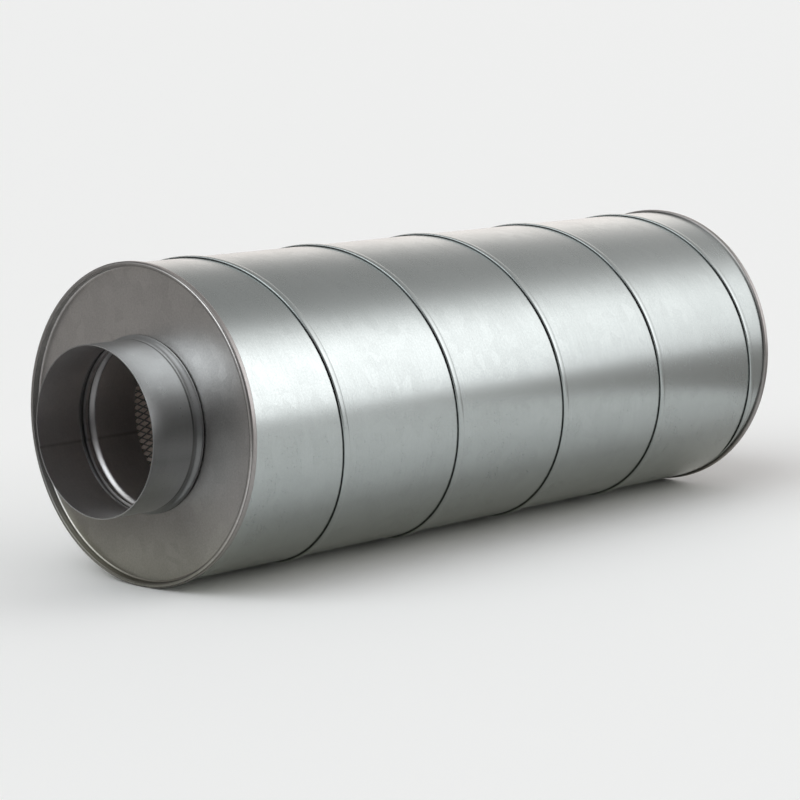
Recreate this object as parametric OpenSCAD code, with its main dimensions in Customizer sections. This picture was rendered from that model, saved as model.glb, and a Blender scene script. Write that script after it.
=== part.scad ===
// Round duct sound attenuator: a spiral lock-seam casing with a pressed cap at each end,
// a beaded spigot through each cap, and an expanded-metal liner wrapped in fleece and mineral wool.
// The duct axis lies along X, the inlet at -X, and the origin is the middle of the axis.

/* [Casing] */
// Outside diameter of the spiral tube
casing_d = 231; // [200:1:320]
// Length from the face of one rim to the face of the other
body_l = 612; // [450:1:1200]
// Sheet thickness of the spiral tube
casing_t = 0.6; // [0.5:0.1:0.9]

/* [Spiral seam] */
// Distance along the axis from one turn of the lock seam to the next
seam_pitch = 123.5; // [100:0.5:150]
// Distance from the inlet rim to the seam where it crosses the top of the tube
seam_top = 60.6; // [40:0.1:80]
// Width of the flattened lock seam
seam_w = 7.5; // [5:0.1:10]
// Height of the lock seam above the tube
seam_h = 1.8; // [1:0.1:2.4]

/* [End caps] */
// Sheet thickness of a cap
cap_t = 0.8; // [0.6:0.1:1]
// Depth of the cap's plate behind the face of the rim
cap_recess = 6; // [5:0.1:12]
// Inside radius of the bend between the plate and the collar
cap_bend = 2; // [1:0.1:3]
// Height of the rolled rim above the tube
rim_proud = 2.75; // [2.6:0.05:4]
// Width of the rolled rim along the axis
rim_w = 5.5; // [5:0.1:9]

/* [Spigots] */
// Outside diameter of a spigot
spigot_d = 124; // [99:1:160]
// Sheet thickness of a spigot
spigot_t = 0.7; // [0.5:0.1:0.9]
// Length of a spigot in front of the rim
spigot_out = 40.5; // [30:0.5:60]
// Length of a spigot behind the face of the rim
spigot_in = 53.5; // [40:0.5:80]
// Height of the two beads that grip the plate
bead_h = 2.9; // [2:0.1:4]
// Width of one bead along the axis
bead_w = 7.2; // [5:0.1:9]

/* [Liner and packing] */
// Thickness of the expanded-metal liner
liner_t = 0.8; // [0.5:0.1:1.2]
// Length of the liner that sits on the tail of a spigot
liner_lap = 20; // [10:1:25]
// Openings in one ring of the liner, an even number
liner_round = 10; // [6:2:12]
// Rings of openings along the liner
liner_rows = 12; // [6:1:12]
// Width of the strands between the openings
strand_w = 6; // [3:0.5:9]
// Thickness of the fleece round the liner
fleece_t = 0.6; // [0.3:0.1:1.5]

/* [Hidden] */
$fn = 96;

steel = [0.74, 0.76, 0.77];
plate_steel = [0.66, 0.66, 0.66];
fleece_grey = [0.72, 0.69, 0.63];
wool_yellow = [0.80, 0.72, 0.48];

casing_r = casing_d / 2;
casing_bore = casing_r - casing_t;
spigot_r = spigot_d / 2;
half_l = body_l / 2;
// Room left between sheets that lie against each other
gap = 0.15;

// Lines through a sheet profile: unit vector, its left-hand normal and points along an arc
function unit(v) = v / norm(v);
function left(v) = [-v[1], v[0]];
function arc(centre, r, from, to, steps = 6) =
    [for (i = [0 : steps]) let (a = from + (to - from) * i / steps) centre + r * [cos(a), sin(a)]];

// One side of a bent sheet: each point of the middle line moved out by d, mitred at the bends
function along(path, i) = unit(path[min(i + 1, len(path) - 1)] - path[min(i, len(path) - 2)]);
function side_point(path, i, d) =
    let (before = left(along(path, max(i - 1, 0))),
         after = left(along(path, i)),
         mitre = unit(before + after))
    path[i] + mitre * d / (mitre * before);
function sheet(path, t) =
    let (last = len(path) - 1)
    concat([for (i = [0 : last]) side_point(path, i, t / 2)],
           [for (i = [last : -1 : 0]) side_point(path, i, -t / 2)]);

// Turns a profile of [radius, distance behind the inlet rim] about the duct axis
module turned(profile) {
    translate([-half_l, 0, 0])
        rotate([0, 90, 0])
            rotate_extrude()
                polygon(profile);
}

// Middle line of a cap: plate, bend, collar inside the tube, fold over its edge, hem outside it
collar_r = casing_bore - gap - cap_t / 2;
plate_s = cap_recess + cap_t / 2;
bend_r = cap_bend + cap_t / 2;
rim_r = casing_r + rim_proud;
rim_leg_r = rim_r - cap_t / 2;
hem_leg_r = casing_r + gap + cap_t / 2;
fold_r = (rim_leg_r - collar_r) / 2;
fold_s = fold_r + cap_t / 2;
hem_r = (rim_leg_r - hem_leg_r) / 2;
hem_s = rim_w - cap_t / 2 - hem_r;
plate_hole_r = spigot_r + gap;
cap_line = concat(
    [[plate_hole_r, plate_s]],
    arc([collar_r - bend_r, plate_s - bend_r], bend_r, 90, 0),
    arc([collar_r + fold_r, fold_s], fold_r, 180, 360, 12),
    arc([rim_leg_r - hem_r, hem_s], hem_r, 0, 180, 8),
    [[hem_leg_r, fold_s + cap_t]]);

// Middle line of a spigot: mouth, bead, groove for the plate's edge, second bead, tail
tube_r = spigot_r - spigot_t / 2;
crest_r = tube_r + bead_h;
corner = 0.9;
groove_front = cap_recess - gap - spigot_t / 2;
groove_back = cap_recess + cap_t + gap + spigot_t / 2;
swell_steps = 8;
// Smooth rise of a bead from the tube at u = 0 to the crest at u = 1
function swell(u) = tube_r + bead_h * (1 - cos(180 * u)) / 2;
swell_w = bead_w - corner - spigot_t / 2;
front_foot = groove_front - corner - swell_w;
back_foot = groove_back + corner + swell_w;
spigot_line = concat(
    [[tube_r, -spigot_out]],
    [for (i = [0 : swell_steps - 1]) [swell(i / swell_steps), front_foot + swell_w * i / swell_steps]],
    arc([crest_r - corner, groove_front - corner], corner, 0, 90, 3),
    [[tube_r, groove_front], [tube_r, groove_back]],
    arc([crest_r - corner, groove_back + corner], corner, -90, 0, 3),
    [for (i = [swell_steps - 1 : -1 : 0]) [swell(i / swell_steps), back_foot - swell_w * i / swell_steps]],
    [[tube_r, spigot_in]]);

// The lock seam: a ridge of four lines that wind along the tube, front foot, front edge, back edge, back foot
turn_steps = 90;
step_angle = 360 / turn_steps;
casing_end = fold_s + gap;
seam_margin = rim_w + 1;
seam_profile = [[0, 0], [0.06, 1], [0.68, 0.8], [1, 0]];
seam_lines = len(seam_profile);
// Angle from the top of the tube, towards -Y, where the front foot stands s behind the inlet rim
function seam_angle(s) = (s - seam_top) / seam_pitch * 360;
first_step = ceil(seam_angle(seam_margin) / step_angle);
last_step = floor(seam_angle(body_l - seam_margin - seam_w) / step_angle);
seam_steps = last_step - first_step;
// The ridge swells out of the tube over a few steps at each end
lead_steps = 3;
function seam_lead(k) = max(0.1, min(1, k / lead_steps, (seam_steps - k) / lead_steps));
function tube_point(s, r, step) =
    let (a = step * step_angle)
    [s - half_l, -r * sin(a), r * cos(a)];
function seam_point(line, k) =
    let (step = first_step + k,
         shape = seam_profile[line],
         foot = seam_top + seam_pitch * step * step_angle / 360)
    tube_point(foot + seam_w * shape[0], casing_r + seam_h * shape[1] * seam_lead(k), step);

// Rings at the two ends of the tube, outside and inside, counted in steps from the seam's start
ring_points = [for (ring = [[casing_end, casing_r], [body_l - casing_end, casing_r],
                            [casing_end, casing_bore], [body_l - casing_end, casing_bore]])
                   for (i = [0 : turn_steps - 1]) tube_point(ring[0], ring[1], first_step + i)];
casing_points = concat(
    [for (line = [0 : seam_lines - 1]) for (k = [0 : seam_steps]) seam_point(line, k)],
    ring_points);
front_foot_line = 0;
back_foot_line = seam_lines - 1;
front_ring = 0;
back_ring = 1;
front_bore = 2;
back_bore = 3;
function on_line(line, k) = line * (seam_steps + 1) + k;
function on_ring(ring, i) = seam_lines * (seam_steps + 1) + ring * turn_steps + (i + turn_steps) % turn_steps;
// Two triangles over the corners a, b, c, d
function quad(a, b, c, d) = [[a, b, c], [a, c, d]];
function fan(points) = [for (i = [1 : len(points) - 2]) [points[0], points[i], points[i + 1]]];
function flat(lists) = [for (list = lists) each list];

ridge_faces = flat([for (line = [0 : seam_lines - 2]) for (k = [0 : seam_steps - 1])
    quad(on_line(line, k), on_line(line + 1, k), on_line(line + 1, k + 1), on_line(line, k + 1))]);
strip_faces = flat([for (k = [0 : seam_steps - turn_steps - 1])
    quad(on_line(back_foot_line, k), on_line(front_foot_line, k + turn_steps),
         on_line(front_foot_line, k + turn_steps + 1), on_line(back_foot_line, k + 1))]);
// The strip's first and last turns run out against the square ends of the tube
front_wedge_faces = flat([for (k = [0 : turn_steps - 2])
    quad(on_ring(front_ring, k), on_line(front_foot_line, k),
         on_line(front_foot_line, k + 1), on_ring(front_ring, k + 1))]);
front_close_faces = fan([on_ring(front_ring, -1), on_line(front_foot_line, turn_steps - 1),
    on_line(front_foot_line, turn_steps), on_line(back_foot_line, 0),
    on_line(front_foot_line, 0), on_ring(front_ring, 0)]);
back_wedge_faces = flat([for (k = [seam_steps - turn_steps + 1 : seam_steps - 1])
    quad(on_line(back_foot_line, k), on_ring(back_ring, k), on_ring(back_ring, k + 1),
         on_line(back_foot_line, k + 1))]);
back_close = seam_steps - turn_steps;
back_close_faces = fan([on_ring(back_ring, back_close + 1), on_line(back_foot_line, back_close + 1),
    on_line(back_foot_line, back_close), on_line(front_foot_line, seam_steps),
    on_line(back_foot_line, seam_steps), on_ring(back_ring, seam_steps)]);
seam_end_faces = concat(
    fan([for (line = [back_foot_line : -1 : 0]) on_line(line, 0)]),
    fan([for (line = [0 : back_foot_line]) on_line(line, seam_steps)]));
bore_faces = flat([for (i = [0 : turn_steps - 1]) concat(
    quad(on_ring(front_bore, i), on_ring(front_bore, i + 1), on_ring(back_bore, i + 1), on_ring(back_bore, i)),
    quad(on_ring(front_ring, i), on_ring(front_ring, i + 1), on_ring(front_bore, i + 1), on_ring(front_bore, i)),
    quad(on_ring(back_bore, i), on_ring(back_bore, i + 1), on_ring(back_ring, i + 1), on_ring(back_ring, i)))]);
casing_faces = concat(ridge_faces, strip_faces, front_wedge_faces, front_close_faces,
    back_wedge_faces, back_close_faces, seam_end_faces, bore_faces);

// Radii and ends of what lies between the spigots and the casing
liner_bore = spigot_r + gap;
liner_r = liner_bore + liner_t;
liner_start = spigot_in - liner_lap;
fleece_bore = liner_r + gap;
fleece_r = fleece_bore + fleece_t;
wool_bore = fleece_r + gap;
wool_r = casing_bore - 2 * gap;
wool_start = cap_recess + cap_t + gap;
bead_clear_r = crest_r + spigot_t / 2 + gap;
bead_clear_s = back_foot + 1;

// The strip wound into a tube, its edges locked together in the raised spiral seam
module outer_casing() {
    color(steel)
        polyhedron(casing_points, casing_faces);
}

module end_cap() {
    color(plate_steel)
        turned(sheet(cap_line, cap_t));
}

module spigot() {
    color(steel)
        turned(sheet(spigot_line, spigot_t));
}

module inlet_end_cap() {
    end_cap();
}

module outlet_end_cap() {
    mirror([1, 0, 0])
        end_cap();
}

module inlet_spigot() {
    spigot();
}

module outlet_spigot() {
    mirror([1, 0, 0])
        spigot();
}

// Diamond openings in staggered rings: one prism across the tube cuts two opposite openings
opening_pitch = 180 * 2 / liner_round;
row_pitch = (body_l - 2 * spigot_in) / (liner_rows + 1);
opening_half_w = PI * liner_r / liner_round - strand_w / 2;
opening_half_l = row_pitch - strand_w / 2;

module mesh_liner() {
    color(steel)
        difference() {
            turned([[liner_bore, liner_start], [liner_r, liner_start],
                    [liner_r, body_l - liner_start], [liner_bore, body_l - liner_start]]);
            for (row = [1 : liner_rows])
                for (i = [0 : liner_round / 2 - 1])
                    translate([spigot_in - half_l + row * row_pitch, 0, 0])
                        rotate([opening_pitch * (i + (row % 2) / 2), 0, 0])
                            linear_extrude(height = 2 * liner_r + 2, center = true)
                                polygon([[opening_half_l, 0], [0, opening_half_w],
                                         [-opening_half_l, 0], [0, -opening_half_w]]);
        }
}

module fleece_wrap() {
    color(fleece_grey)
        turned([[fleece_bore, bead_clear_s], [fleece_r, bead_clear_s],
                [fleece_r, body_l - bead_clear_s], [fleece_bore, body_l - bead_clear_s]]);
}

// The wool mat fills the casing, and is hollowed at its ends for the inner beads
module wool_packing() {
    color(wool_yellow)
        turned([[bead_clear_r, wool_start], [wool_r, wool_start],
                [wool_r, body_l - wool_start], [bead_clear_r, body_l - wool_start],
                [bead_clear_r, body_l - bead_clear_s], [wool_bore, body_l - bead_clear_s],
                [wool_bore, bead_clear_s], [bead_clear_r, bead_clear_s]]);
}

outer_casing();
inlet_end_cap();
outlet_end_cap();
inlet_spigot();
outlet_spigot();
mesh_liner();
fleece_wrap();
wool_packing();
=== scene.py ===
# %% [markdown]
# # A round duct sound attenuator
# This lesson dresses a finished CAD model of a duct sound attenuator. The model is loaded as a fixed frame:
# its pieces have the right size and place, and Blender adds the thin sheet edges, the folded seams and the zinc.
# Every new piece is modelled in metres in the CAD frame, so nothing has to be fitted afterwards.

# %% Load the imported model
import math

import bmesh
import bpy
import numpy as np
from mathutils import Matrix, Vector, noise


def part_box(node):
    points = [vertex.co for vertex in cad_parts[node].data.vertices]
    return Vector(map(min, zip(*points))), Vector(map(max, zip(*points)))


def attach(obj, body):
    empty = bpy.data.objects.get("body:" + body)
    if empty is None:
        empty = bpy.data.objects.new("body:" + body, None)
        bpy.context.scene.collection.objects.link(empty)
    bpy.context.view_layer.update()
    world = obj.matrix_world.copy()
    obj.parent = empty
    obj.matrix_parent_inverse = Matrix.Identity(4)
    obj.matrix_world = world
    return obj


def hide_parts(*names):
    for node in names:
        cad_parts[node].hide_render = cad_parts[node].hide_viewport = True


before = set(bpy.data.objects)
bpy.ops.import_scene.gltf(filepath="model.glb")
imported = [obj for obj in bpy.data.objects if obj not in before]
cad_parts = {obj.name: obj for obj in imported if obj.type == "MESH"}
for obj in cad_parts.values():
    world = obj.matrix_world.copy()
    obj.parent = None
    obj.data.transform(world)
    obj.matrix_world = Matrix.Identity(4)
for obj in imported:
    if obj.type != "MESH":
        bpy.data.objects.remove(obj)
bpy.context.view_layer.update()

# %% [markdown]
# ## Sizes
# The duct axis is X and the inlet is at -X. Most sizes can be read off the frame: the end cap gives the face and
# radius of the rim, and the spigot gives its mouth and the end of its tail. The sheet thicknesses and the seam are
# too small to read from a box, so they are written here as a maker would write them, in millimetres. The rims are
# rolled a little flatter than in the CAD model, which keeps their reflection in the casing as short as it should be.

# %% Read the main sizes from the frame
MM = 0.001
CASING_R = 115.5 * MM
SPIGOT_R = 62 * MM
CASING_SHEET = 0.6 * MM
CAP_SHEET = 0.8 * MM
SPIGOT_SHEET = 0.7 * MM
SHEET_GAP = 0.15 * MM
RIM_FLATTER = 0.8 * MM

rim_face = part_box("inlet_end_cap")[0].x
rim_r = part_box("inlet_end_cap")[1].z - RIM_FLATTER
body_length = -2 * rim_face
spigot_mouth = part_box("inlet_spigot")[0].x - rim_face
spigot_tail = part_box("inlet_spigot")[1].x - rim_face
print(f"rim face {rim_face:.4f}, rim radius {rim_r:.5f}, spigot {spigot_mouth:.4f} to {spigot_tail:.4f}")

# %% [markdown]
# ## Camera
# The picture to match was taken from the inlet side, a little above the duct, with a long lens. A long lens is the
# reason why the far rim is only a little smaller than the near one. A camera can be placed by eye, but here its
# angle, distance and lens were worked out from the outlines of the two rims, so they are plain numbers.

# %% Place the camera
PICTURE_PX = 800
FOCAL_PX = 2791.4
SENSOR_MM = 36
VIEW_AZIMUTH = math.radians(-47.54)
VIEW_ELEVATION = math.radians(8.545)
VIEW_DISTANCE = 2.1963
LOOK_AT = Vector((rim_face + 278.4 * MM, 0, -12.4 * MM))

towards_camera = Vector((
    math.sin(VIEW_AZIMUTH) * math.cos(VIEW_ELEVATION),
    -math.cos(VIEW_AZIMUTH) * math.cos(VIEW_ELEVATION),
    math.sin(VIEW_ELEVATION),
))
camera_data = bpy.data.cameras.new("product_camera")
camera_data.sensor_width = SENSOR_MM
camera_data.lens = SENSOR_MM * FOCAL_PX / PICTURE_PX
camera = bpy.data.objects.new("product_camera", camera_data)
bpy.context.scene.collection.objects.link(camera)
camera.location = LOOK_AT + VIEW_DISTANCE * towards_camera
camera.rotation_euler = towards_camera.to_track_quat("Z", "Y").to_euler()
bpy.context.scene.camera = camera
print(f"camera at {tuple(camera.location)}, lens {camera_data.lens:.1f} mm")

# %% [markdown]
# ## Floor
# The tube lies on a sheet of white paper on a grey studio floor. Bare zinc is a mirror with a blurred finish: the
# lower half of the tube shows the paper, and the plate and the spigot show the grey floor past the paper's edges. So
# the paper is cut close round the picture on the left and in front, where the zinc should look dark, and left wide on
# the right. A dark card lies in front of it, as a photographer would lay one to give the spigot a dark side. The
# paper covers the picture everywhere, which gives a plain pale ground with a soft shadow. The three lie one under
# the other with a small step between them, because two faces in one plane would flicker.

# %% Lay the paper, the card and the floor
LAYER_STEP = 0.5 * MM
FLOOR_RADIUS = 90
PAPER_COLOR = (0.95, 0.95, 0.94, 1)
CARD_COLOR = (0.12, 0.115, 0.11, 1)
FLOOR_COLOR = (0.36, 0.345, 0.33, 1)
# corners as seen from the camera: metres ahead of it and metres to its right
PAPER_CORNERS = ((1.43, -0.30), (1.43, 0.24), (1.78, 0.42), (1.78, 5), (2.05, 5), (2.22, 0.78), (2.34, 0.535),
                 (2.5, 0.405), (80, 12.4), (80, -12.4), (2.4, -0.40))
CARD_CORNERS = ((-0.3, -0.5), (-0.3, 1.1), (1.6, 1.1), (1.6, 0.3), (1.44, 0.2), (1.44, -0.3), (1.2, -0.5))


def fresh_material(name):
    """Makes a material with nodes. Returns it with its node tree and its Principled shader."""
    material = bpy.data.materials.new(name)
    material.use_nodes = True
    return material, material.node_tree, material.node_tree.nodes["Principled BSDF"]


def lay_ground(name, corners, height, color):
    """Makes a flat, matt sheet of the stage from its corners."""
    mesh = bpy.data.meshes.new(name)
    mesh.from_pydata([(x, y, 0) for x, y in corners], [], [tuple(range(len(corners)))])
    paint, _, shader = fresh_material(name + "_paint")
    shader.inputs["Base Color"].default_value = color
    shader.inputs["Roughness"].default_value = 0.9
    shader.inputs["Specular IOR Level"].default_value = 0.1
    mesh.materials.append(paint)
    ground = bpy.data.objects.new(name, mesh)
    ground.location.z = height
    bpy.context.scene.collection.objects.link(ground)
    print(name, "at height", height)


ahead = -Vector((towards_camera.x, towards_camera.y)).normalized()
to_right = Vector((ahead.y, -ahead.x))
paper_corners, card_corners = ([camera.location.xy + a * ahead + r * to_right for a, r in reversed(corners)]
                               for corners in (PAPER_CORNERS, CARD_CORNERS))
floor_corners = [FLOOR_RADIUS * Vector((math.cos(a), math.sin(a))) for a in np.linspace(0, 2 * math.pi, 65)[:-1]]
lay_ground("paper", paper_corners, -rim_r, PAPER_COLOR)
lay_ground("dark_card", card_corners, -rim_r - LAYER_STEP, CARD_COLOR)
lay_ground("studio_floor", floor_corners, -rim_r - 2 * LAYER_STEP, FLOOR_COLOR)

# %% [markdown]
# ## Light
# Metal has no colour of its own to show: it shows the room. Here the room is painted into the world, so that every
# light is as large and as soft as it has to be. The bands along the tube are a long softbox on the right, a warm
# bright wall low down behind the tube, a dim ceiling and the floor. The plate and the spigot show a large softbox
# in front of the inlet, and the bead a small one overhead. The first cell makes the helpers for node trees.

# %% Make node helpers


def add_node(tree, kind, **settings):
    """Adds a node and sets its plain properties."""
    node = tree.nodes.new(kind)
    for key, value in settings.items():
        setattr(node, key, value)
    return node


def feed(tree, value, socket):
    """Links a socket into an input, or writes a plain value there."""
    if isinstance(value, bpy.types.NodeSocket):
        tree.links.new(value, socket)
    elif value is not None:
        socket.default_value = value


def math_node(tree, operation, first, second=None):
    """Adds a Math node whose inputs are sockets or numbers, and returns its output."""
    node = add_node(tree, "ShaderNodeMath", operation=operation)
    feed(tree, first, node.inputs[0])
    feed(tree, second, node.inputs[1])
    return node.outputs["Value"]


def vector_node(tree, operation, first, second):
    """Adds a Vector Math node. A dot product returns its value, the rest return a vector."""
    node = add_node(tree, "ShaderNodeVectorMath", operation=operation)
    feed(tree, first, node.inputs[0])
    feed(tree, second, node.inputs["Scale" if operation == "SCALE" else 1])
    return node.outputs["Value" if operation == "DOT_PRODUCT" else "Vector"]


def ramp_node(tree, value, low, high, to_low, to_high, smooth=True):
    """Maps a value from one range to another, clamped, with soft ends if asked."""
    node = add_node(tree, "ShaderNodeMapRange")
    node.interpolation_type = "SMOOTHSTEP" if smooth else "LINEAR"
    tree.links.new(value, node.inputs["Value"])
    for key, number in (("From Min", low), ("From Max", high), ("To Min", to_low), ("To Max", to_high)):
        node.inputs[key].default_value = number
    return node.outputs["Result"]


def product(tree, first, *others):
    """Multiplies any number of value sockets."""
    for other in others:
        first = math_node(tree, "MULTIPLY", first, other)
    return first


print("node helpers ready")

# %% [markdown]
# The lights along the tube are told apart by the angle round the duct axis, 0 straight up and 90 degrees level on the
# right, and by how far they lie towards the outlet. Each light is a soft mask between 0 and 1. The softbox and the
# wall stand a little slanted, so their edges climb or fall towards the outlet.

# %% Mask the softbox and the wall
world = bpy.data.worlds.new("studio_room")
bpy.context.scene.world = world
world.use_nodes = True
room = world.node_tree
room.nodes.clear()

direction = add_node(room, "ShaderNodeTexCoord").outputs["Generated"]
room_axes = add_node(room, "ShaderNodeSeparateXYZ")
room.links.new(direction, room_axes.inputs[0])
room_x, room_y, room_z = room_axes.outputs
round_axis = math_node(room, "ARCTAN2", math_node(room, "MULTIPLY", room_y, -1.0), room_z)

SOFTBOX_SLANT = 1.1
WALL_SLANT = -2.3
SLANT_PIVOT = 0.72
SOFTBOX_UPPER_EDGE = np.radians((9, 47))
SOFTBOX_LOWER_EDGE = np.radians((84.5, 92.5))
WALL_EDGE = np.radians((-72, -32))


def slanted(slant):
    """The angle round the axis, turned more and more towards the outlet."""
    from_pivot = math_node(room, "SUBTRACT", room_x, SLANT_PIVOT)
    return math_node(room, "ADD", round_axis, math_node(room, "MULTIPLY", slant, from_pivot))


softbox_angle = slanted(SOFTBOX_SLANT)
softbox = product(
    room,
    ramp_node(room, softbox_angle, *SOFTBOX_UPPER_EDGE, 0, 1),
    ramp_node(room, round_axis, *SOFTBOX_LOWER_EDGE, 1, 0),
    ramp_node(room, room_x, 0.25, 0.60, 0, 1),
    ramp_node(room, room_x, 0.69, 0.84, 1, 0.35),
)
wall = product(
    room,
    ramp_node(room, slanted(WALL_SLANT), *WALL_EDGE, 1, 0),
    ramp_node(room, room_x, 0.20, 0.60, 0, 1),
)
print("masked the softbox and the wall")

# %% Mask the front softbox, the overhead light and the ceiling
FRONT_DIRECTION = Vector((-0.73, 0.03, 0.68)).normalized()
FRONT_EDGE, FRONT_FULL = math.radians(36), math.radians(14)
DARK_SIDE = Vector((-0.6, 0.8, 0))
DARK_RIGHT = Vector((-0.2, -0.98, 0))


def towards(way):
    """1 straight along a way through the room, 0 square to it."""
    return vector_node(room, "DOT_PRODUCT", direction, way)


front = ramp_node(room, towards(FRONT_DIRECTION), math.cos(FRONT_EDGE), math.cos(FRONT_FULL), 0, 1)
overhead = ramp_node(room, room_z, 0.86, 0.985, 0, 1)
# each factor: what it goes by, from where to where, and the factor at both
CEILING_FACTORS = (
    (towards(DARK_SIDE), 0.1, 0.9, 1, 0.9),
    (room_x, 0.66, 0.88, 1, 1.5),
    (room_z, -0.05, 0.5, 0.35, 1),
    (softbox_angle, math.radians(-8), math.radians(22), 1, 1.35),
    (towards(DARK_RIGHT), 0.6, 0.95, 1, 0.35),
)
ceiling = product(room, *(ramp_node(room, *factor) for factor in CEILING_FACTORS))
print("masked the front softbox, the overhead light and the ceiling")

# %% [markdown]
# Each mask is multiplied by a colour and a radiance, and the sum is the world. A white card on the floor renders just
# under white in this light, so every colour in the scene comes out about as it is written.

# %% Add the lights up
ROOM_LIGHTS = (
    (softbox, 2.2, (1.0, 0.99, 1.0)),
    (wall, 1.1, (1.012, 0.932, 0.893)),
    (front, 2.3, (0.94, 0.985, 1.015)),
    (overhead, 0.45, (1.0, 1.0, 1.0)),
    (ceiling, 0.42, (1.0, 0.985, 0.975)),
)
room_light = None
for mask, radiance, color in ROOM_LIGHTS:
    light = vector_node(room, "SCALE", [radiance * channel for channel in color], mask)
    room_light = light if room_light is None else vector_node(room, "ADD", room_light, light)
background = add_node(room, "ShaderNodeBackground")
room.links.new(room_light, background.inputs["Color"])
room.links.new(background.outputs[0], add_node(room, "ShaderNodeOutputWorld").inputs["Surface"])
bpy.context.scene.view_settings.view_transform = "Standard"
print("room lights with radiance", [radiance for _, radiance, _ in ROOM_LIGHTS])

# %% [markdown]
# ## Helpers for thin sheet
# Every steel piece here is bent or rolled from thin sheet. A sheet is drawn as its middle line, and a helper gives
# it thickness by moving each point to both sides, with a mitre at the bends. A second helper turns such a profile
# about the duct axis. A modifier could do both, but plain points keep the edges and the lap where they belong.

# %% Draw bent sheet and turn it about the axis
EDGE_BULGE = 0.18


def arc(centre, radius, start, end, steps):
    """Points along an arc in the (radius, depth) plane, angles in degrees."""
    angles = np.radians(np.linspace(start, end, steps + 1))
    return [(centre[0] + radius * math.cos(a), centre[1] + radius * math.sin(a)) for a in angles]


def bent_sheet(middle, thickness):
    """Closed outline of a sheet from its middle line, mitred at the bends and rounded at the cut edges."""
    line = np.array(middle, float)
    step = np.diff(line, axis=0)
    along = step / np.linalg.norm(step, axis=1)[:, None]
    before = np.vstack([along[:1], along])
    after = np.vstack([along, along[-1:]])
    left = np.stack([-before[:, 1], before[:, 0]], 1)
    mitre = left + np.stack([-after[:, 1], after[:, 0]], 1)
    mitre /= np.linalg.norm(mitre, axis=1)[:, None]
    shift = mitre * (thickness / 2 / np.sum(mitre * left, axis=1))[:, None]
    start_bulge = line[:1] - along[0] * thickness * EDGE_BULGE
    end_bulge = line[-1:] + along[-1] * thickness * EDGE_BULGE
    return np.vstack([start_bulge, line + shift, end_bulge, (line - shift)[::-1]])


def shares_round(inside, outside):
    """Values for the outline that bent_sheet makes, from the values on both sides of its middle line."""
    return np.concatenate([inside[:1], inside, inside[-1:], outside[::-1]])


def turned(profile, sides, offset=None):
    """Turns a closed (radius, depth) outline about X. offset(angle) may add to the radius, as at a lap."""
    angles = np.radians(np.arange(sides) * 360 / sides)
    extra = np.zeros(sides) if offset is None else np.array([offset(math.degrees(a)) for a in angles])
    count = len(profile)
    radius = profile[None, :, 0] + extra[:, None]
    points = np.stack([
        np.broadcast_to(profile[None, :, 1], radius.shape),
        -radius * np.sin(angles)[:, None],
        radius * np.cos(angles)[:, None],
    ], axis=2).reshape(-1, 3)
    faces = []
    for i in range(sides):
        here, there = i * count, (i + 1) % sides * count
        faces += [(here + j, here + (j + 1) % count, there + (j + 1) % count, there + j) for j in range(count)]
    return points, faces


print("sheet helpers ready")

# %% Turn points and faces into a piece
SMOOTH_ANGLE = math.radians(38)


def add_piece(name, points, faces, material, replaced):
    """Makes a smooth mesh piece that rides on the part and stands for a CAD node."""
    mesh = bpy.data.meshes.new(name)
    mesh.from_pydata(np.asarray(points).tolist(), [], faces)
    build = bmesh.new()
    build.from_mesh(mesh)
    bmesh.ops.recalc_face_normals(build, faces=build.faces)
    build.to_mesh(mesh)
    build.free()
    mesh.shade_smooth()
    mesh.set_sharp_from_angle(angle=SMOOTH_ANGLE)
    mesh.materials.append(material)
    piece = bpy.data.objects.new(name, mesh)
    bpy.context.scene.collection.objects.link(piece)
    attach(piece, "root")
    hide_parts(replaced)
    print(name, len(mesh.vertices), "points", len(mesh.polygons), "faces")
    return piece


def from_rim(points, end):
    """Moves points measured from a rim face to that end of the body: -1 is the inlet, 1 the outlet."""
    placed = np.array(points, float)
    placed[:, 0] += rim_face
    return placed if end < 0 else placed * (-1, -1, 1)


def mark_dirt_and_shade(piece, shares):
    """Stores the share of the dark fold colour on every point of a piece: a little dirt, mostly painted shade."""
    piece.data.attributes.new("fold", "FLOAT", "POINT").data.foreach_set("value", shares)


print("piece helpers ready")

# %% [markdown]
# ## Zinc
# Galvanised sheet is steel under a thin coat of zinc. Seen close, it has fine rolling lines along the strip, pale
# and dark spangles as large as a fingernail, and cloudy patches where it was handled. Several pieces share that
# finish with other values, so it is one node group. The group gives only what changes over the surface: a colour,
# a roughness and a height for the bump. The colour gets a yellowish tint low down on the part, a painted reflection
# of a warm floor. Each zinc material also mixes in a near-black colour by an attribute of the mesh points: a little
# dirt in the folds, and painted shade in the slits, creases and grooves and on some sides of each piece. On a
# mesh without that attribute it reads 0, so nothing is mixed in.

# %% Make helpers for groups and textures


def new_group(name, inputs, outputs):
    """Makes a shader node group with named sockets. Returns it with its input and output nodes."""
    group = bpy.data.node_groups.new(name, "ShaderNodeTree")
    for way, sockets in (("INPUT", inputs), ("OUTPUT", outputs)):
        for socket_name, kind in sockets.items():
            group.interface.new_socket(socket_name, in_out=way, socket_type="NodeSocket" + kind)
    return group, add_node(group, "NodeGroupInput"), add_node(group, "NodeGroupOutput")


def noise_node(tree, vector, scale, detail, roughness=0.55):
    """Adds a Noise Texture over a vector socket and returns its value."""
    node = add_node(tree, "ShaderNodeTexNoise")
    tree.links.new(vector, node.inputs["Vector"])
    node.inputs["Scale"].default_value = scale
    node.inputs["Detail"].default_value = detail
    node.inputs["Roughness"].default_value = roughness
    return node.outputs["Fac"]


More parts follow.
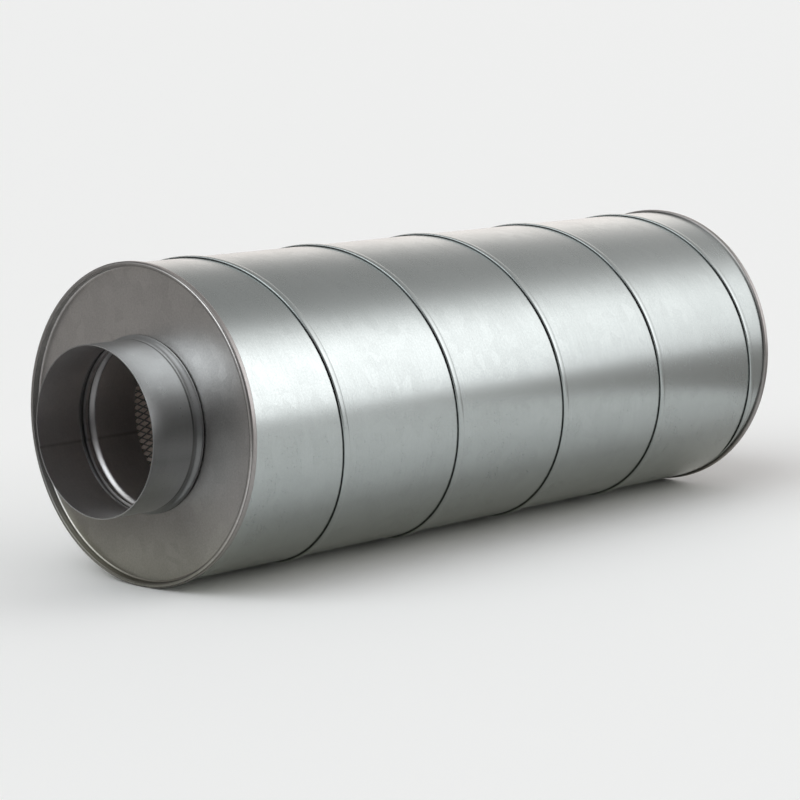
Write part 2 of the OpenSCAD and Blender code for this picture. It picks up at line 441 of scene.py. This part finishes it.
def mix_color(tree, factor, first, second):
    """Mixes two colour sockets or colours by a factor socket."""
    node = add_node(tree, "ShaderNodeMix", data_type="RGBA")
    tree.links.new(factor, node.inputs["Factor"])
    for key, value in (("A", first), ("B", second)):
        feed(tree, value, next(s for s in node.inputs if s.name == key and s.type == "RGBA"))
    return next(s for s in node.outputs if s.type == "RGBA")


print("group and texture helpers ready")

# %% Lay the patterns of the zinc over each other
SPANGLES_PER_M = 95
zinc_group, zinc_in, zinc_out = new_group(
    "rolled_zinc",
    {"Vector": "Vector", "Streaks": "Vector", "Light Zinc": "Color", "Dark Zinc": "Color", "Smooth": "Float",
     "Rough": "Float"},
    {"Color": "Color", "Roughness": "Float", "Height": "Float"},
)
zinc_place = zinc_in.outputs["Vector"]
streak_place = vector_node(zinc_group, "MULTIPLY", zinc_place, zinc_in.outputs["Streaks"])
streaks = noise_node(zinc_group, streak_place, 1.0, 4, 0.62)
broad_streaks = noise_node(zinc_group, streak_place, 0.2, 2)
clouds = noise_node(zinc_group, zinc_place, 14, 2)
grain = noise_node(zinc_group, zinc_place, 620, 3, 0.75)
spangle = add_node(zinc_group, "ShaderNodeTexVoronoi", feature="F1")
zinc_group.links.new(zinc_place, spangle.inputs["Vector"])
spangle.inputs["Scale"].default_value = SPANGLES_PER_M
spangle_tone = add_node(zinc_group, "ShaderNodeSeparateColor")
zinc_group.links.new(spangle.outputs["Color"], spangle_tone.inputs[0])

TONE_SHARES = (
    (streaks, 0.24),
    (grain, 0.46),
    (broad_streaks, 0.04),
    (clouds, 0.18),
    (spangle_tone.outputs[0], 0.08),
)
tone = math_node(zinc_group, "MULTIPLY", *TONE_SHARES[0])
for layer, share in TONE_SHARES[1:]:
    tone = math_node(zinc_group, "ADD", tone, math_node(zinc_group, "MULTIPLY", layer, share))
tone = ramp_node(zinc_group, tone, 0.30, 0.70, 0, 1, smooth=False)
print("zinc tone from", len(TONE_SHARES), "patterns")

# %% Give out the zinc's colour, roughness and height
# yellowish tint low down on each part: a painted reflection of a warm floor
FLOOR_REFLECTION_TINT = (1.0, 0.985, 0.86)
FLOOR_TINT_FULL, FLOOR_TINT_GONE = -115 * MM, -35 * MM
bare_zinc = mix_color(zinc_group, tone, zinc_in.outputs["Dark Zinc"], zinc_in.outputs["Light Zinc"])
part_axes = add_node(zinc_group, "ShaderNodeSeparateXYZ")
zinc_group.links.new(add_node(zinc_group, "ShaderNodeTexCoord").outputs["Object"], part_axes.inputs[0])
floor_tint = ramp_node(zinc_group, part_axes.outputs["Z"], FLOOR_TINT_FULL, FLOOR_TINT_GONE, 1, 0)
floor_tinted_zinc = vector_node(zinc_group, "MULTIPLY", bare_zinc, FLOOR_REFLECTION_TINT)
zinc_group.links.new(mix_color(zinc_group, floor_tint, bare_zinc, floor_tinted_zinc), zinc_out.inputs["Color"])
rough_mix = add_node(zinc_group, "ShaderNodeMix", data_type="FLOAT")
zinc_group.links.new(tone, rough_mix.inputs["Factor"])
zinc_group.links.new(zinc_in.outputs["Rough"], rough_mix.inputs["A"])
zinc_group.links.new(zinc_in.outputs["Smooth"], rough_mix.inputs["B"])
zinc_group.links.new(rough_mix.outputs["Result"], zinc_out.inputs["Roughness"])
zinc_group.links.new(streaks, zinc_out.inputs["Height"])
print("zinc group with", len(zinc_group.nodes), "nodes")

# %% Make a zinc material from the group
# near-black colour mixed in by the fold attribute: a little dirt, mostly painted shade
FOLD_DIRT_AND_SHADE = (0.035, 0.034, 0.032, 1)
LINE_DEPTH = 0.02 * MM


def zinc_material(name, streaks_per_m, light, dark, smooth, rough, bump, anisotropy=0, place=None):
    """A Principled metal from the rolled zinc group. place names an attribute with coordinates of the sheet's own."""
    material, tree, shader = fresh_material(name)
    shader.inputs["Metallic"].default_value = 1
    shader.inputs["Anisotropic"].default_value = anisotropy
    if place:
        position = add_node(tree, "ShaderNodeAttribute", attribute_name=place).outputs["Vector"]
    else:
        position = add_node(tree, "ShaderNodeTexCoord").outputs["Object"]
    zinc = add_node(tree, "ShaderNodeGroup", node_tree=zinc_group)
    tree.links.new(position, zinc.inputs["Vector"])
    for key, value in (("Streaks", streaks_per_m), ("Light Zinc", light), ("Dark Zinc", dark), ("Smooth", smooth),
                       ("Rough", rough)):
        zinc.inputs[key].default_value = value
    # the fold attribute mixes in painted shade with a little dirt
    fold = add_node(tree, "ShaderNodeAttribute", attribute_name="fold").outputs["Fac"]
    tree.links.new(mix_color(tree, fold, zinc.outputs["Color"], FOLD_DIRT_AND_SHADE), shader.inputs["Base Color"])
    tree.links.new(zinc.outputs["Roughness"], shader.inputs["Roughness"])
    lines = add_node(tree, "ShaderNodeBump")
    lines.inputs["Strength"].default_value = bump
    lines.inputs["Distance"].default_value = LINE_DEPTH
    tree.links.new(zinc.outputs["Height"], lines.inputs["Height"])
    tree.links.new(lines.outputs[0], shader.inputs["Normal"])
    if anisotropy:
        rolling_way = add_node(tree, "ShaderNodeTangent", direction_type="RADIAL", axis="X")
        tree.links.new(rolling_way.outputs[0], shader.inputs["Tangent"])
    return material


print("zinc is ready to be given values")

# %% Give each steel piece its zinc
ALONG_STRIP = (16, 1100, 1)
ROUND_TUBE = (900, 14, 14)
EVERY_WAY = (1400, 1400, 1400)
casing_zinc = zinc_material("casing_zinc", ALONG_STRIP, (0.464, 0.498, 0.493, 1), (0.355, 0.382, 0.377, 1),
                            0.21, 0.30, 0.12, 0.35, "strip")
cap_zinc = zinc_material("cap_zinc", EVERY_WAY, (0.67, 0.655, 0.642, 1), (0.42, 0.411, 0.403, 1), 0.27, 0.37, 1.0)
band_zinc = zinc_material("band_zinc", EVERY_WAY, (0.38, 0.362, 0.352, 1), (0.29, 0.277, 0.27, 1), 0.33, 0.41, 0.6)
spigot_zinc = zinc_material("spigot_zinc", ROUND_TUBE, (0.47, 0.485, 0.49, 1), (0.39, 0.40, 0.405, 1),
                            0.26, 0.34, 0.15, 0.3)
# the inside's paler zinc colour is painted light, standing in for the light that reaches into the tube
lightened_inside_zinc = zinc_material("lightened_inside_zinc", ROUND_TUBE, (0.72, 0.708, 0.714, 1), (0.58, 0.568, 0.574, 1),
                            0.32, 0.43, 0.4)
cut_edge = zinc_material("cut_edge", EVERY_WAY, (0.40, 0.40, 0.40, 1), (0.32, 0.32, 0.32, 1), 0.40, 0.50, 0.2)
mesh_zinc = zinc_material("mesh_zinc", EVERY_WAY, (0.40, 0.39, 0.38, 1), (0.30, 0.29, 0.28, 1), 0.35, 0.5, 0.4)
print("zinc materials:", [m.name for m in bpy.data.materials if m.name.endswith(("zinc", "edge"))])

# %% [markdown]
# ## Spiral casing
# The casing is one long strip wound like a paper straw. Its edges are folded into each other and pressed flat, which
# leaves a low flat ridge with two steep sides and a slit along the front one, darkened with painted shade and a
# little dirt. Modelled as a plain tube with a bump it would lose the ridge on its outline, so the strip is built
# along its
# own spiral: rows of points follow the seam, close together on the ridge and far apart on the flat. The ends are cut
# square afterwards. The lower side of every piece gets a share of the dark colour by the angle from its top: painted
# shade, darker towards the bottom.

# %% Describe the strip across its width
SEAM_PITCH = 123.5 * MM
SEAM_AT_TOP = 60.6 * MM
# (distance behind the front foot, height above the tube, share of painted shade and dirt in the fold), the first two
# in millimetres
SEAM_SHAPE = [
    (-1.30, 0.00, 0.0), (-0.75, -0.01, 0.0), (-0.55, -0.08, 0.6), (-0.48, -0.28, 1.0), (-0.34, -0.28, 1.0),
    (-0.31, 0.25, 1.0), (-0.29, 0.64, 0.55), (-0.26, 0.92, 0.05), (-0.18, 1.17, 0.0), (-0.03, 1.31, 0.0),
    (0.25, 1.42, 0.0), (0.70, 1.50, 0.0), (1.50, 1.57, 0.0), (2.60, 1.60, 0.0), (3.80, 1.58, 0.0), (4.70, 1.51, 0.0),
    (5.05, 1.42, 0.0), (5.28, 1.24, 0.0), (5.38, 0.98, 0.1), (5.42, 0.45, 0.4), (5.46, 0.06, 0.5), (5.75, 0.00, 0.2),
    (6.40, 0.00, 0.0),
]
FLAT_ROWS = 14
flat_start, flat_end = SEAM_SHAPE[-1][0], SEAM_PITCH / MM + SEAM_SHAPE[0][0] - 0.02
flat_rows = np.linspace(flat_start, flat_end, FLAT_ROWS + 1)[1:]
strip_rows = np.array([(at * MM, up * MM, dirt_and_shade) for at, up, dirt_and_shade in SEAM_SHAPE]
                      + [(row * MM, 0, 0) for row in flat_rows])
print(len(strip_rows), "rows across the strip")

# %% Wind the strip
STEPS_PER_TURN = 240
CASING_END = 2.3 * MM
SEAM_FADE = (5.6 * MM, 15 * MM)
BUCKLE_HEIGHT = 0.10 * MM
BUCKLE_SCALE = 9.0
# painted shade on the lower side of the casing: angles from the top and the share at each
CASING_ANGLES = (100, 111, 122, 140, 156)
CASING_SHARES = (0, 0.13, 0.36, 0.32, 0.10)
casing_x = (rim_face + CASING_END, -rim_face - CASING_END)


def soft_step(value, low, high):
    """0 below low, 1 above high and a soft curve between them."""
    share = np.clip((value - low) / (high - low), 0, 1)
    return share * share * (3 - 2 * share)


def painted_shade_by_angle(points, angles, shares):
    """Shares of painted shade on a round piece, given at some angles from its top and blended between them."""
    from_top = np.degrees(np.abs(np.arctan2(points[:, 1], points[:, 2])))
    return np.interp(from_top, angles, shares)


def faded(distance):
    """0 at the rim and 1 well away from it, where the seam has its full height."""
    return soft_step(distance, *SEAM_FADE)


def wind_strip():
    """Points and faces of the strip, wound a little past both ends of the casing."""
    first = math.floor((CASING_END - SEAM_AT_TOP - SEAM_PITCH) / SEAM_PITCH * STEPS_PER_TURN)
    last = math.ceil((body_length - SEAM_AT_TOP) / SEAM_PITCH * STEPS_PER_TURN)
    steps = np.arange(first, last + STEPS_PER_TURN + 1)
    turn = steps / STEPS_PER_TURN
    x = rim_face + SEAM_AT_TOP + SEAM_PITCH * turn[:, None] + strip_rows[None, :, 0]
    from_rims = np.minimum(x - rim_face, -rim_face - x)
    height = strip_rows[None, :, 1] * faded(from_rims)
    angle = 2 * np.pi * turn[:, None] + np.zeros_like(x)
    around = np.stack([x, -CASING_R * np.sin(angle), CASING_R * np.cos(angle)], axis=2)
    buckle = np.array([noise.noise(Vector(p) * BUCKLE_SCALE) for p in around.reshape(-1, 3)]).reshape(x.shape)
    radius = CASING_R + height + buckle * BUCKLE_HEIGHT
    points = np.stack([x, -radius * np.sin(angle), radius * np.cos(angle)], axis=2).reshape(-1, 3)
    rows = len(strip_rows)
    faces = []
    for k in range(last - first):
        here, next_step = k * rows, (k + 1) * rows
        faces += [(here + j, here + j + 1, next_step + j + 1, next_step + j) for j in range(rows - 1)]
        wrap, wrap_next = (k + STEPS_PER_TURN) * rows, (k + 1 + STEPS_PER_TURN) * rows
        faces.append((here + rows - 1, wrap, wrap_next, next_step + rows - 1))
    along = np.broadcast_to(angle * CASING_R, x.shape)
    across = np.broadcast_to(strip_rows[None, :, 0], x.shape)
    strip_place = np.stack([along, across, np.zeros_like(x)], axis=2).reshape(-1, 3)
    # painted shade with a little dirt along the seam's slit
    fold = (strip_rows[None, :, 2] * faded(from_rims)).ravel()
    return points, faces, strip_place, np.maximum(fold, painted_shade_by_angle(points, CASING_ANGLES, CASING_SHARES))


strip_points, strip_faces, strip_place, strip_dirt_and_shade = wind_strip()
print("strip wound from", len(strip_points), "points")

# %% Cut the ends square and close the casing with its inner wall
casing = add_piece("spiral_casing", strip_points, strip_faces, casing_zinc, "outer_casing")
casing.data.attributes.new("strip", "FLOAT_VECTOR", "POINT").data.foreach_set("vector", strip_place.ravel())
mark_dirt_and_shade(casing, strip_dirt_and_shade)


def square_ends(piece):
    """Cuts the wound strip at both ends of the casing and closes it with a plain inner wall."""
    build = bmesh.new()
    build.from_mesh(piece.data)
    for x, outwards in zip(casing_x, (-1, 1)):
        everything = build.verts[:] + build.edges[:] + build.faces[:]
        bmesh.ops.bisect_plane(build, geom=everything, plane_co=(x, 0, 0), plane_no=(outwards, 0, 0),
                               clear_outer=True)
    loose = [v for v in build.verts if not v.link_faces]
    bmesh.ops.delete(build, geom=loose, context="VERTS")
    inner_loops = []
    for x in casing_x:
        rim_edges = [e for e in build.edges if e.is_boundary and all(abs(v.co.x - x) < MM / 10 for v in e.verts)]
        made = bmesh.ops.extrude_edge_only(build, edges=rim_edges)["geom"]
        for v in (g for g in made if isinstance(g, bmesh.types.BMVert)):
            scale = (CASING_R - CASING_SHEET) / math.hypot(v.co.y, v.co.z)
            v.co.y *= scale
            v.co.z *= scale
        inner_loops += [g for g in made if isinstance(g, bmesh.types.BMEdge) and g.is_boundary]
    bmesh.ops.bridge_loops(build, edges=inner_loops)
    bmesh.ops.recalc_face_normals(build, faces=build.faces)
    for face in build.faces:
        face.smooth = True
    open_edges = sum(e.is_boundary for e in build.edges)
    build.to_mesh(piece.data)
    build.free()
    piece.data.set_sharp_from_angle(angle=SMOOTH_ANGLE)
    return open_edges


print("casing open edges:", square_ends(casing), "faces:", len(casing.data.polygons))

# %% [markdown]
# ## End caps
# Each cap is a pressed plate. Its edge turns forwards into a collar inside the tube and folds over the end of the
# tube with a flat front and two tight corners. A band is rolled over that fold from outside and closes against the
# tube. Both sheets are middle lines, written in sections, and each section has a share of a dark colour, painted
# shade with a little dirt: a little on the fold, much in the groove under the band. A middle line must never turn
# back on itself, or its mitre would run off.

# %% Draw the plate and its fold
BAND_SHEET = 0.6 * MM
CAP_RECESS = 6 * MM
CAP_BEND = 2.4 * MM
RIM_WIDTH = 5.5 * MM
FOLD_BEND = 0.42 * MM
# dark shares in the groove and on the lip: painted shade with a little dirt
GROOVE_DIRT_AND_SHADE = 0.9
LIP_DIRT_AND_SHADE = 0.4
CAP_SIDES = 288
ARC_STEPS = 8
PLATE_RINGS = 10

collar_r = CASING_R - CASING_SHEET - SHEET_GAP - CAP_SHEET / 2
band_r = rim_r - BAND_SHEET / 2
leg_r = band_r - BAND_SHEET / 2 - SHEET_GAP - CAP_SHEET / 2
plate_depth = CAP_RECESS + CAP_SHEET / 2
fold_depth = FOLD_BEND + CAP_SHEET / 2
plate_rings = np.linspace(SPIGOT_R + SHEET_GAP, collar_r - CAP_BEND, PLATE_RINGS)[:-1]
cap_sections = [
    ([(r, plate_depth) for r in plate_rings], 0),
    (arc((collar_r - CAP_BEND, plate_depth - CAP_BEND), CAP_BEND, 90, 40, ARC_STEPS), 0),
    (arc((collar_r - CAP_BEND, plate_depth - CAP_BEND), CAP_BEND, 30, 0, ARC_STEPS // 2), LIP_DIRT_AND_SHADE),
    (arc((collar_r + FOLD_BEND, fold_depth), FOLD_BEND, 180, 270, ARC_STEPS), LIP_DIRT_AND_SHADE),
    (arc((leg_r - FOLD_BEND, fold_depth), FOLD_BEND, 270, 350, ARC_STEPS), 0),
    ([(leg_r, fold_depth + 0.2 * MM), (leg_r, RIM_WIDTH - 2 * CAP_SHEET)], GROOVE_DIRT_AND_SHADE),
]
print("plate at depth", plate_depth, "and fold from radius", collar_r, "to", leg_r)

# %% Draw the band
BAND_FRONT = 2.0 * MM
BAND_BEND = 1.6 * MM
BAND_BACK = 0.9 * MM
# painted shade on the lower side of the caps: angles from the top and the share at each
CAP_ANGLES = (92, 120, 150)
CAP_SHARES = (0, 0.22, 0.54)

band_back = RIM_WIDTH - BAND_SHEET / 2
band_sections = [
    (arc((band_r - BAND_BEND, BAND_FRONT), BAND_BEND, 320, 326, 2), LIP_DIRT_AND_SHADE / 2),
    (arc((band_r - BAND_BEND, BAND_FRONT), BAND_BEND, 332, 360, ARC_STEPS), 0),
    (arc((band_r - BAND_BACK, band_back - BAND_BACK), BAND_BACK, 0, 88, 2 * ARC_STEPS), 0),
    ([(CASING_R + 0.05 * MM, band_back)], LIP_DIRT_AND_SHADE),
]


def turn_sections(sections, thickness):
    """Turns a sheet that is written in sections. Returns points, faces and the share of painted shade and dirt on the
    points.
    """
    line = [point for points, _ in sections for point in points]
    dirt_and_shade = np.array([share for points, share in sections for _ in points], float)
    points, faces = turned(bent_sheet(line, thickness), CAP_SIDES)
    dirt_and_shade = np.tile(shares_round(dirt_and_shade, dirt_and_shade), CAP_SIDES)
    return points, faces, dirt_and_shade + (1 - dirt_and_shade) * painted_shade_by_angle(points, CAP_ANGLES, CAP_SHARES)


cap_points, cap_faces, cap_dirt_and_shade = turn_sections(cap_sections, CAP_SHEET)
band_points, band_faces, band_dirt_and_shade = turn_sections(band_sections, BAND_SHEET)
print(len(cap_points), "points on a plate and", len(band_points), "on a band")

# %% [markdown]
# The band is darker than the plate. So each cap is one mesh with two materials: the band's faces come after the
# plate's, and their material index is 1.

# %% Join plate and band into the two caps
rim_points = np.vstack([cap_points, band_points])
rim_faces = cap_faces + [tuple(len(cap_points) + corner for corner in face) for face in band_faces]
material_of = [0] * len(cap_faces) + [1] * len(band_faces)

for cap_name, end in (("inlet", -1), ("outlet", 1)):
    cap = add_piece(cap_name + "_cap", from_rim(rim_points, end), rim_faces, cap_zinc,
                    cap_name + "_end_cap")
    cap.data.materials.append(band_zinc)
    cap.data.polygons.foreach_set("material_index", material_of)
    mark_dirt_and_shade(cap, np.concatenate([cap_dirt_and_shade, band_dirt_and_shade]))

# %% [markdown]
# ## Spigots
# A spigot is a strip rolled into a collar and lapped along its length. Two beads rolled into it grip the edge of the
# plate, one from each side. The front one has a hollow flare up to a tight crest and a steep back against the
# plate, and the one behind the plate runs out in a soft curve. Inside they show as two grooves. The lap is a small
# step in the radius, which fades out round the tube.

# %% Draw the spigot with its two beads
BEAD_HEIGHT = 2.7 * MM
BEAD_WIDTH = 8.1 * MM
BEAD_CORNER = 0.5 * MM
BEAD_BACK = 0.5 * MM
CREASE = 0.55 * MM

tube_r = SPIGOT_R - SPIGOT_SHEET / 2
crest_r = tube_r + BEAD_HEIGHT
grip_front = CAP_RECESS - SHEET_GAP - SPIGOT_SHEET / 2
grip_back = CAP_RECESS + CAP_SHEET + SHEET_GAP + SPIGOT_SHEET / 2
front_foot = grip_front - BEAD_WIDTH
back_foot = grip_back + BEAD_WIDTH
flare_width = BEAD_WIDTH - BEAD_BACK - BEAD_CORNER

flare = [(tube_r + BEAD_HEIGHT * u ** 3 * (4 - 3 * u), front_foot + flare_width * u)
         for u in (0, CREASE / flare_width, 2 * CREASE / flare_width, *np.linspace(0.25, 0.95, 11))]
crest = arc((crest_r - BEAD_CORNER, front_foot + flare_width), BEAD_CORNER, 0, 70, 6)
steep_back = np.linspace(crest[-1], (tube_r, grip_front), 7)[1:].tolist()
back_crest = [(tube_r, grip_back), (crest_r - BEAD_CORNER, grip_back + 0.3 * MM), (crest_r, grip_back + 1 * MM)]
run_out = [(tube_r + BEAD_HEIGHT * (1 - u * u * (3 - 2 * u)), back_foot - 4.4 * MM * (1 - u))
           for u in np.linspace(0, 1, 12)]
spigot_line = [(tube_r, d) for d in np.linspace(spigot_mouth, front_foot - 2 * CREASE, 6)]
spigot_line += [(tube_r, front_foot - CREASE)] + flare + crest + steep_back + back_crest + run_out
spigot_line += [(tube_r, d) for d in np.linspace(back_foot, spigot_tail, 5)[1:]]
print(len(spigot_line), "points along the spigot")

# %% [markdown]
# Painted shade with a little dirt marks the crease at the foot of the bead. Inside, it fills the deep part of the
# grooves, but not the soft run-out, which shines. A thin line of it runs along the lap. The lower side of the tube
# and the bead, and the upper side of the run-out inside, are darker too: painted shade.
# The shares are worked out once for a turned spigot, in the order in which its outline was drawn.

# %% Turn a spigot and share out its painted shade and dirt
SPIGOT_SIDES = 240
LAP_ANGLE = 254
LAP_FADE = 30
LAP_STEP = 0.45 * MM
# dark shares at the lap, the crease and the grooves: painted shade with a little dirt
LAP_DIRT_AND_SHADE = 0.32
CREASE_DIRT_AND_SHADE = 0.75
FLARE_CLEAN, BACK_CLEAN, DIRT_AND_SHADE_EDGE = 0.05 * MM, 1.3 * MM, 0.4 * MM


def lap(angle):
    """The sheet's end stands off by a step at the lap, and comes back to the round gradually."""
    past = (angle - LAP_ANGLE) % 360
    return -LAP_STEP * max(0, 1 - past / LAP_FADE) ** 2


def dirt_and_shade_inside(r, depth):
    """Painted shade with a little dirt in the grooves: nearly all of the flare, the deep part of its back, and
    nothing on the run-out.
    """
    clean = FLARE_CLEAN if depth < crest[0][1] else BACK_CLEAN
    return GROOVE_DIRT_AND_SHADE * np.clip((r - tube_r - clean) / DIRT_AND_SHADE_EDGE, 0, 1) * (depth < run_out[0][1])


def dirt_and_shade_outside(depth):
    """Painted shade with a little dirt in the crease at the foot of the front bead."""
    return CREASE_DIRT_AND_SHADE * np.clip(2 - abs(depth - front_foot) / CREASE, 0, 1)


spigot_points, spigot_faces = turned(bent_sheet(spigot_line, SPIGOT_SHEET), SPIGOT_SIDES, lap)
line_dirt_and_shade = shares_round(np.array([dirt_and_shade_inside(r, d) for r, d in spigot_line]),
                         np.array([dirt_and_shade_outside(d) for _, d in spigot_line]))
lap_dirt_and_shade = [LAP_DIRT_AND_SHADE * (abs(side * 360 / SPIGOT_SIDES - LAP_ANGLE) < 0.8) for side in range(SPIGOT_SIDES)]
spigot_dirt_and_shade = np.maximum(np.array(lap_dirt_and_shade)[:, None], line_dirt_and_shade[None, :]).ravel()
nowhere = np.zeros(len(spigot_line))
on_tube = shares_round(nowhere, np.array([d <= front_foot for _, d in spigot_line]))
on_bead = shares_round(nowhere, np.array([front_foot < d < grip_back for _, d in spigot_line]))
on_run_out = shares_round(np.array([run_out[0][1] <= d < back_foot for _, d in spigot_line]), nowhere)
# painted shade by the angle from the top: lower side of tube and bead, upper side of the run-out inside
for where, angles, shares in (
    (on_tube, (72, 90, 105, 120, 140), (0, 0.38, 0.5, 0.25, 0)),
    (on_bead, (72, 90, 120, 150), (0, 0.7, 0.65, 0.3)),
    (on_run_out, (95, 120), (0.6, 0)),
):
    spigot_dirt_and_shade = np.maximum(spigot_dirt_and_shade, np.tile(where, SPIGOT_SIDES) * painted_shade_by_angle(spigot_points, angles, shares))
print(len(spigot_points), "points on a spigot, with a mean share of dirt of", round(float(spigot_dirt_and_shade.mean()), 3))

# %% [markdown]
# The outside of a spigot is bright zinc; the inside is rougher and painted paler, as painted light that stands in
# for the light reaching into the tube; and the cut edge at the mouth is bare steel, so the faces get three materials.
# Each ring of faces starts at the mouth, runs along the inside and comes back outside.

# %% Place the two spigots
OUTSIDE, INSIDE, MOUTH = range(3)
ring = [MOUTH] + [INSIDE] * len(spigot_line) + [OUTSIDE] * len(spigot_line) + [MOUTH]
for spigot_name, end in (("inlet", -1), ("outlet", 1)):
    spigot = add_piece(spigot_name + "_collar", from_rim(spigot_points, end), spigot_faces, spigot_zinc,
                       spigot_name + "_spigot")
    for material in (lightened_inside_zinc, cut_edge):
        spigot.data.materials.append(material)
    spigot.data.polygons.foreach_set("material_index", ring * SPIGOT_SIDES)
    mark_dirt_and_shade(spigot, spigot_dirt_and_shade)

# %% [markdown]
# ## Expanded-metal liner
# The air path is lined with expanded metal: a sheet that is slit and stretched into diamonds, longer along the duct
# than round it. Each strand is a small twisted bar from one knot to the next. A texture with holes would be quicker,
# but real strands catch the light and hide each other as they should.

# %% Stretch the liner into strands
LINER_BORE = SPIGOT_R + SHEET_GAP
LINER_SHEET = 0.8 * MM
LINER_LAP = 20 * MM
DIAMOND_LENGTH = 12 * MM
DIAMONDS_ROUND = 78
STRAND_WIDTH = 0.95 * MM
STRAND_THICK = 0.55 * MM
STRAND_TWIST = math.radians(-32)

liner_x = rim_face + spigot_tail - LINER_LAP
liner_steps = round(-2 * liner_x / (DIAMOND_LENGTH / 2))
knot_pitch = -2 * liner_x / liner_steps
knot_angle = 2 * math.pi / DIAMONDS_ROUND
strand_r = LINER_BORE + LINER_SHEET / 2


def knot(column, row):
    """Where strands meet: angle round the tube and distance along it, in a staggered lattice."""
    return (column + row % 2 / 2) * knot_angle, liner_x + row * knot_pitch


def strand(first, second):
    """Eight corners of a bar between two knots, turned a little about its own length."""
    ends = np.array([(x, -strand_r * math.sin(a), strand_r * math.cos(a)) for a, x in (first, second)])
    run = ends[1] - ends[0]
    run /= np.linalg.norm(run)
    middle = ends.mean(axis=0)
    outwards = np.array((0, middle[1], middle[2])) / math.hypot(middle[1], middle[2])
    sideways = np.cross(run, outwards)
    wide = math.cos(STRAND_TWIST) * sideways + math.sin(STRAND_TWIST) * outwards
    thick = np.cross(run, wide)
    corners = [(1, 1), (1, -1), (-1, -1), (-1, 1)]
    offsets = np.array([wide * a * STRAND_WIDTH / 2 + thick * b * STRAND_THICK / 2 for a, b in corners])
    return np.vstack([ends[0] + offsets, ends[1] + offsets])


BAR_FACES = [(0, 1, 2, 3), (7, 6, 5, 4), (0, 4, 5, 1), (1, 5, 6, 2), (2, 6, 7, 3), (3, 7, 4, 0)]
bars = []
for row in range(liner_steps):
    for column in range(DIAMONDS_ROUND):
        here = knot(column, row)
        forward = (column, column - 1) if row % 2 == 0 else (column, column + 1)
        bars += [strand(here, knot(other, row + 1)) for other in forward]
bar_faces = [tuple(8 * i + corner for corner in face) for i in range(len(bars)) for face in BAR_FACES]
add_piece("expanded_liner", np.vstack(bars), bar_faces, mesh_zinc, "mesh_liner")

# %% [markdown]
# ## Fleece and wool
# Behind the mesh lies a thin glass fleece, and behind that the wool that takes up the sound. Through the mesh only
# the fleece can be seen, so it gets its own soft, slightly uneven tube. The wool stays the CAD solid with a fibrous
# finish. Both share one group for tangled fibres.

# %% Build the fibre group
fibre_group, fibre_in, fibre_out = new_group(
    "tangled_fibres",
    {"Vector": "Vector", "Fibre Scale": "Float", "Pale": "Color", "Deep": "Color"},
    {"Color": "Color", "Height": "Float"},
)
fibre_noise = add_node(fibre_group, "ShaderNodeTexNoise")
fibre_group.links.new(fibre_in.outputs["Vector"], fibre_noise.inputs["Vector"])
fibre_group.links.new(fibre_in.outputs["Fibre Scale"], fibre_noise.inputs["Scale"])
fibre_noise.inputs["Detail"].default_value = 6
fibre_noise.inputs["Distortion"].default_value = 1.6
fibre_lines = math_node(fibre_group, "ABSOLUTE", math_node(fibre_group, "SUBTRACT", fibre_noise.outputs["Fac"], 0.5))
fibre_mask = ramp_node(fibre_group, fibre_lines, 0.0, 0.16, 1, 0)
fibre_group.links.new(mix_color(fibre_group, fibre_mask, fibre_in.outputs["Deep"], fibre_in.outputs["Pale"]),
                      fibre_out.inputs["Color"])
fibre_group.links.new(fibre_mask, fibre_out.inputs["Height"])
print("fibre group with", len(fibre_group.nodes), "nodes")

# %% Make the fleece and the wool from the fibre group
MATTED_DEPTH = 0.3 * MM


def fibre_material(name, scale, pale, deep):
    """A matt, fibrous material from the tangled fibre group."""
    material, tree, shader = fresh_material(name)
    shader.inputs["Roughness"].default_value = 0.95
    shader.inputs["Specular IOR Level"].default_value = 0.15
    place = add_node(tree, "ShaderNodeTexCoord").outputs["Object"]
    fibres = add_node(tree, "ShaderNodeGroup", node_tree=fibre_group)
    tree.links.new(place, fibres.inputs["Vector"])
    fibres.inputs["Fibre Scale"].default_value = scale
    fibres.inputs["Pale"].default_value = pale
    fibres.inputs["Deep"].default_value = deep
    tree.links.new(fibres.outputs["Color"], shader.inputs["Base Color"])
    matted = add_node(tree, "ShaderNodeBump")
    matted.inputs["Strength"].default_value = 0.6
    matted.inputs["Distance"].default_value = MATTED_DEPTH
    tree.links.new(fibres.outputs["Height"], matted.inputs["Height"])
    tree.links.new(matted.outputs[0], shader.inputs["Normal"])
    return material


fleece_cloth = fibre_material("fleece_cloth", 420, (0.86, 0.76, 0.69, 1), (0.68, 0.58, 0.52, 1))
wool_mat = fibre_material("wool_mat", 160, (0.66, 0.57, 0.34, 1), (0.42, 0.34, 0.18, 1))
for wool_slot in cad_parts["wool_packing"].material_slots:
    wool_slot.material = wool_mat
print("fibre materials on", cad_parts["wool_packing"].name)

# %% Wrap the fleece round the liner
FLEECE_ROWS = 120
FLEECE_SIDES = 120
FLEECE_RIPPLE = 0.18 * MM
fleece_low, fleece_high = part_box("fleece_wrap")
fleece_outer = fleece_high.z
fleece_inner = LINER_BORE + LINER_SHEET + SHEET_GAP
fleece_rows = np.linspace(fleece_low.x, fleece_high.x, FLEECE_ROWS)
fleece_profile = np.array([(fleece_inner, x) for x in fleece_rows] + [(fleece_outer, x) for x in fleece_rows[::-1]])
fleece_points, fleece_faces = turned(fleece_profile, FLEECE_SIDES)
for point in fleece_points:
    if math.hypot(point[1], point[2]) < (fleece_inner + fleece_outer) / 2:
        ripple = 1 + FLEECE_RIPPLE / fleece_inner * noise.noise(Vector(point) * 60)
        point[1:] *= ripple
add_piece("fleece_sleeve", fleece_points, fleece_faces, fleece_cloth, "fleece_wrap")
